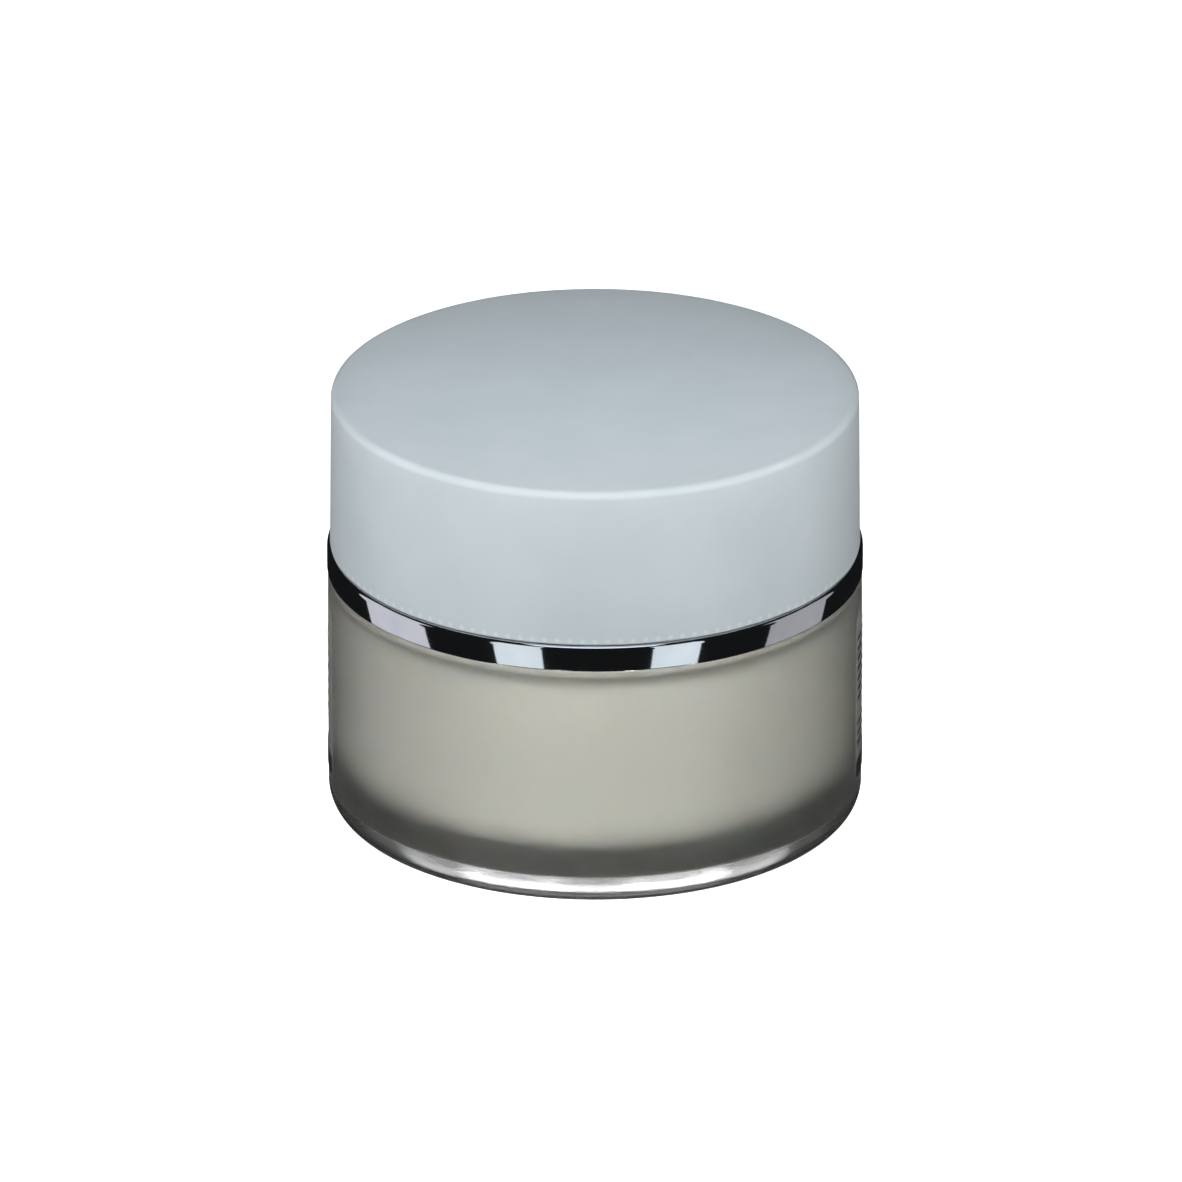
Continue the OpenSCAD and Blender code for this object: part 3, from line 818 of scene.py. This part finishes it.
def buildInnerCap():
    roofLow = cap["topZ"] - cap["roof"]
    beadZ = linerLow.z - cap["beadDrop"]
    threadTop = (cap["boreR"], capThread["z"] + cap["threadSpan"])
    foot = (cap["boreR"], cap["lowZ"])
    outline = [foot, (cap["footR"], cap["lowZ"]), (cap["footR"], cap["lowZ"] + cap["footH"]),
               (cap["r"], cap["lowZ"] + cap["footH"])]
    outline += arc(cap["r"] - cap["edge"], cap["topZ"] - cap["edge"], cap["edge"], 0, 90, 5)
    # a low round boss and the stub of the gate stand in the middle of the roof
    bossTop, gateTop = cap["topZ"] + cap["bossH"], cap["topZ"] + cap["gateH"]
    outline += [(cap["bossR"] + cap["bossSlope"], cap["topZ"]), (cap["bossR"], bossTop),
                (cap["gateR"] + cap["gateSlope"], bossTop), (cap["gateR"], gateTop),
                (0, gateTop), (0, roofLow), (cap["boreR"], roofLow),
                (cap["boreR"], beadZ + cap["beadHalf"]), (cap["boreR"] - cap["bead"], beadZ),
                (cap["boreR"], beadZ - cap["beadHalf"]), threadTop]
    outline += stretch(threadTop, foot, threadStep)

    def thread(r, z, angle):
        onBore = abs(r - cap["boreR"]) < 0.01 and cap["lowZ"] < z < threadTop[1]
        return (r - threadHeight(capThread, z, angle), z) if onBore else (r, z)

    piece = lathe("inner_cap_body", outline, 192, closed=True, push=thread, sharpDeg=30)
    finishPiece(piece, capLook, "lid", "cap_plastic", "inner_cap")


def buildRoofRibs():
    # radial ribs stiffen the inner cap's roof
    ribs = {"count": 16, "from": 5.5, "to": 26.5, "width": 0.9, "height": 1.1, "sink": 0.1, "edge": 0.2}
    middle = (ribs["from"] + ribs["to"]) / 2
    half = (ribs["to"] - ribs["from"]) / 2
    piece = roundedBlock("inner_cap_ribs", -half, half, -ribs["width"] / 2, ribs["width"] / 2,
                         -ribs["sink"], ribs["height"], ribs["edge"])
    bakeGeometry(piece, repeatRound, {"Count": ribs["count"], "Radius": middle * mm,
                                      "Height": cap["topZ"] * mm, "Material": capLook})
    finishPiece(piece, capLook, "lid", "cap_plastic")


def buildLiner():
    # the die-cut foam keeps a shallow groove where it presses on the sealing disc
    liner = {"r": linerHigh.x, "pressIn": 21.6, "pressOut": jar["neckR"], "press": 0.12,
             "slopeIn": 0.5, "slopeOut": 0.4, "edge": 0.12}
    low, top, edge = linerLow.z, linerHigh.z, liner["edge"]
    outline = [(0, low), (liner["pressIn"] - liner["slopeIn"], low), (liner["pressIn"], low + liner["press"]),
               (liner["pressOut"], low + liner["press"]), (liner["pressOut"] + liner["slopeOut"], low)]
    outline += arc(liner["r"] - edge, low + edge, edge, -90, 0, 4)
    outline += arc(liner["r"] - edge, top - edge, edge, 0, 90, 4) + [(0, top)]
    finishPiece(lathe("cap_liner_foam", outline, 160), foamLook, "liner", "liner_foam", "cap_liner")


buildTrimRing()
buildPips()
buildOuterShell()
buildInnerCap()
buildRoofRibs()
buildLiner()
print("lid made")


studio = {
    "floorSize": 4.0, "backdrop": 1.0, "dark": 0.008, "darkTint": "#F3F9FF",
    "cameraElevation": 23.6, "cameraDistance": 3.0, "lens": 800, "aim": (-0.46, 0, 26.1),
    # each softbox: azimuth, elevation and distance, then width, height, power, colour and what doesn't see it
    "panels": {
        "frontLeft": ((-32.5, 0, 600), (220, 800), 0.475, "#F0FAFF", ()),
        "frontRight": ((34.5, 0, 600), (220, 800), 0.475, "#F0FAFF", ()),
        "sideLeft": ((-94.5, 0, 600), (400, 800), 0.65, "#F6F6FF", ()),
        "sideRight": ((97, 0, 600), (390, 800), 0.37, "#FAFAFF", ()),
        "key": ((3, 35, 178), (260, 50), 0.32, "#FFFEFC", ("glossy",)),
        "lidTop": ((0, 84, 57), (70, 20), 0.0068, "#E6F2FF", ("glossy",)),
        "overhead": ((0, 66, 240), (160, 100), 0.066, "#E9F3FF", ()),
        "backLeft": ((-150, -22, 600), (260, 400), 0.80, "#FAFCFF", ("glossy", "transmission")),
        "backRight": ((150, -22, 600), (260, 400), 0.80, "#FAFCFF", ("glossy", "transmission")),
        "backThrough": ((180, 30, 400), (300, 300), 0.45, "#FAFAFF", ("glossy", "diffuse")),
        "through": ((-9, 20, 400), (300, 300), 0.66, "#FAFAFF", ("glossy", "diffuse")),
        "fillLeft": ((-72, 20, 400), (300, 300), 1.40, "#FCFDFF", ("glossy", "transmission")),
        "fillRight": ((72, 20, 400), (300, 300), 1.14, "#FCFDFF", ("glossy", "transmission")),
    },
    # small lights low in front, which only the ground heel catches: the power of each, by its azimuth
    "glints": {-50: 0.0095, -26: 0.031, 0: 0.026, 26: 0.034, 50: 0.011},
    "glintElevation": -19.5, "glintDistance": 46.8, "glintSize": (24, 17), "glintTarget": (0, 0, 2.2),
    # a black flag keeps them off the wall above the heel and out of the base
    "flagZ": 3.8, "flagGap": 0.15, "flagReach": 12, "flagHalfDeg": 80, "flagSteps": 40,
    "flagUnderR": 28, "flagDrop": 0.3,
}


def placeRound(target, azimuthDeg, elevationDeg, distance):
    # a place round the jar: azimuth 0 is in front, and grows to the right
    a, e = math.radians(azimuthDeg), math.radians(elevationDeg)
    outward = Vector((math.sin(a) * math.cos(e), -math.cos(a) * math.cos(e), math.sin(e)))
    return Vector(target) + outward * distance


def addPanel(name, place, size, power, colour, hideFrom, target=(0, 0, 30)):
    # a softbox that faces its target from an azimuth, an elevation and a distance
    light = bpy.data.lights.new(name, "AREA")
    light.shape = "RECTANGLE"
    light.size, light.size_y = (side * mm for side in size)
    light.energy = power
    light.color = srgb(colour)[:3]
    lamp = bpy.data.objects.new(name, light)
    bpy.context.scene.collection.objects.link(lamp)
    azimuth, elevation, distance = place
    target = Vector(target) * mm
    lamp.location = placeRound(target, azimuth, elevation, distance * mm)
    lamp.rotation_mode = "QUATERNION"
    lamp.rotation_quaternion = (target - lamp.location).to_track_quat("-Z", "Y")
    for kind in ("camera", *hideFrom):
        setattr(lamp, "visible_" + kind, False)


def buildFlag():
    # a black half ring just off the glass and a black disc under it: they block light, and the camera
    # doesn't see them
    bm = bmesh.new()
    steps, innerR = studio["flagSteps"], jar["r"] + studio["flagGap"]
    outerR = innerR + studio["flagReach"]
    pairs = []
    for i in range(steps + 1):
        angle = math.radians(-90 + studio["flagHalfDeg"] * (2 * i / steps - 1))
        outward = Vector((math.cos(angle), math.sin(angle), 0))
        lift = Vector((0, 0, studio["flagZ"]))
        pairs.append([bm.verts.new((outward * r + lift) * mm) for r in (innerR, outerR)])
    for first, second in zip(pairs, pairs[1:]):
        bm.faces.new((first[0], first[1], second[1], second[0]))
    bmesh.ops.create_circle(bm, cap_ends=True, segments=64, radius=studio["flagUnderR"] * mm,
                            matrix=Matrix.Translation((0, 0, -studio["flagDrop"] * mm)))
    flag = newPiece("flag", bm)
    felt = newMaterial("blackFelt", {"Roughness": 1.0, "Specular IOR Level": 0.0},
                       20.0, "#000000", "#020202")[0]
    flag.data.materials.append(felt)
    flag.visible_camera = False
    flag.visible_transmission = False
    flag.visible_diffuse = False


def buildStage():
    bm = bmesh.new()
    bmesh.ops.create_grid(bm, x_segments=1, y_segments=1, size=studio["floorSize"] / 2)
    floor = newPiece("floor", bm)
    paper = newMaterial("paleFloor", {
        "Roughness": 0.8, "Emission Color": srgb("#FFFFFF"), "Emission Strength": 1.0},
        80.0, "#F4F4F4", "#F2F2F2")[0]
    floor.data.materials.append(paper)
    floor.visible_glossy = False
    floor.visible_transmission = False
    floor.visible_diffuse = False
    floor.visible_shadow = False

    world = bpy.data.worlds.new("studio")
    bpy.context.scene.world = world
    world.use_nodes = True
    tree = world.node_tree
    tree.nodes.clear()
    seen = addNode(tree, "ShaderNodeLightPath")
    white = addNode(tree, "ShaderNodeBackground", values={
        "Color": srgb("#FFFFFF"), "Strength": studio["backdrop"]})
    dark = addNode(tree, "ShaderNodeBackground", values={
        "Color": srgb(studio["darkTint"]), "Strength": studio["dark"]})
    both = addNode(tree, "ShaderNodeMixShader")
    tree.links.new(seen.outputs["Is Camera Ray"], both.inputs[0])
    tree.links.new(dark.outputs[0], both.inputs[1])
    tree.links.new(white.outputs[0], both.inputs[2])
    addNode(tree, "ShaderNodeOutputWorld", links={"Surface": both.outputs[0]})

    for name, (place, size, power, colour, hideFrom) in studio["panels"].items():
        addPanel(name, place, size, power, colour, hideFrom)
    for azimuth, power in studio["glints"].items():
        place = (azimuth, studio["glintElevation"], studio["glintDistance"])
        addPanel("glint", place, studio["glintSize"], power, "#FFFFFF", ("diffuse", "transmission"),
                 studio["glintTarget"])
    buildFlag()

    camera = bpy.data.objects.new("camera", bpy.data.cameras.new("camera"))
    bpy.context.scene.collection.objects.link(camera)
    camera.data.sensor_width = 36
    camera.data.lens = studio["lens"]
    aim = Vector(studio["aim"]) * mm
    camera.location = placeRound(aim, 0, studio["cameraElevation"], studio["cameraDistance"])
    camera.rotation_mode = "QUATERNION"
    camera.rotation_quaternion = (aim - camera.location).to_track_quat("-Z", "Y")
    bpy.context.scene.camera = camera
    bpy.context.scene.view_settings.view_transform = "Standard"


buildStage()
print("stage made")
